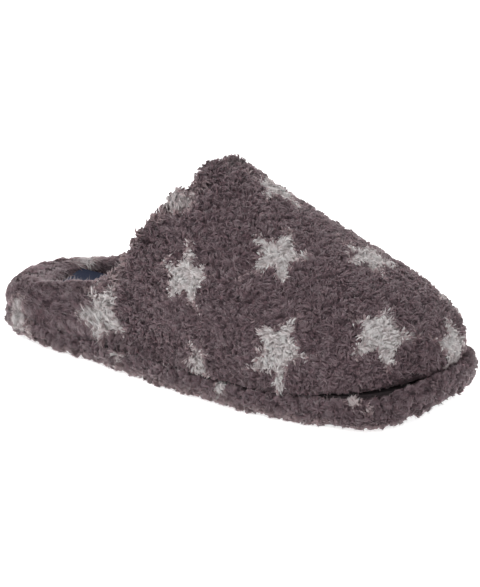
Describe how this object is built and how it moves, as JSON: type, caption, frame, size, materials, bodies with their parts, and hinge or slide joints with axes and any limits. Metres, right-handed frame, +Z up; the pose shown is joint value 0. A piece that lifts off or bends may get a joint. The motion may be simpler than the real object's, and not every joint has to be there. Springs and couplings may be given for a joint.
{
  "type": "scuff slipper",
  "caption": "Right-foot slip-on house slipper with an open low heel, a deep starred teddy-fleece vamp, a padded heel roll, a fleece-wrapped platform and a thin flat sole.",
  "frame": {"origin": "centre of the bounding box in plan, on the plane the sole stands on", "axes": "+X from heel to toe, +Y towards the inner side of the foot, +Z up"},
  "size_m": [0.264, 0.1042, 0.109],
  "materials": {
    "outsole": "fine matt texture",
    "platform_midsole": "closed-cell foam",
    "platform_wrap": "curly teddy fleece",
    "insole": "short fleece",
    "heel_collar": "combed teddy fleece",
    "upper": "curly teddy fleece with pale stars",
    "insole_label": "plain woven patch"
  },
  "bodies": {
    "root": {"outsole": "outsole", "platform_midsole": "platform_midsole", "platform_wrap": "platform_wrap", "insole": "insole", "heel_collar": "heel_collar", "upper": "upper", "insole_label": "insole_label"}
  },
  "joints": []
}
